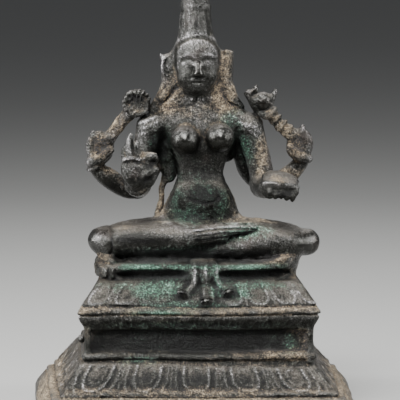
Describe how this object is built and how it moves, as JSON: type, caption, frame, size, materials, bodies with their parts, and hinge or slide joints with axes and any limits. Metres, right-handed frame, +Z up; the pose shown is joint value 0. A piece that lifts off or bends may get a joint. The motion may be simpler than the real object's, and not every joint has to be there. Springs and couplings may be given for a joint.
{
  "type": "seated goddess statue",
  "caption": "Small cast bronze of a four-armed goddess seated cross-legged on a cushion, on a rectangular pedestal with sloping bands of lotus petals and a recessed neck.",
  "frame": {"origin": "on the flat underside, under the middle of the pedestal's box", "axes": "+Z up through the crown, the goddess faces -Y, +X to her left"},
  "size_m": [0.088, 0.059, 0.1209],
  "materials": {
    "patinated_bronze": "old cast bronze, dark brown-black and semi-matte, rubbed bright on the high points, with tan soil and green corrosion in the hollows"
  },
  "bodies": {
    "root": {"parvati_statue": "patinated_bronze"}
  },
  "joints": []
}
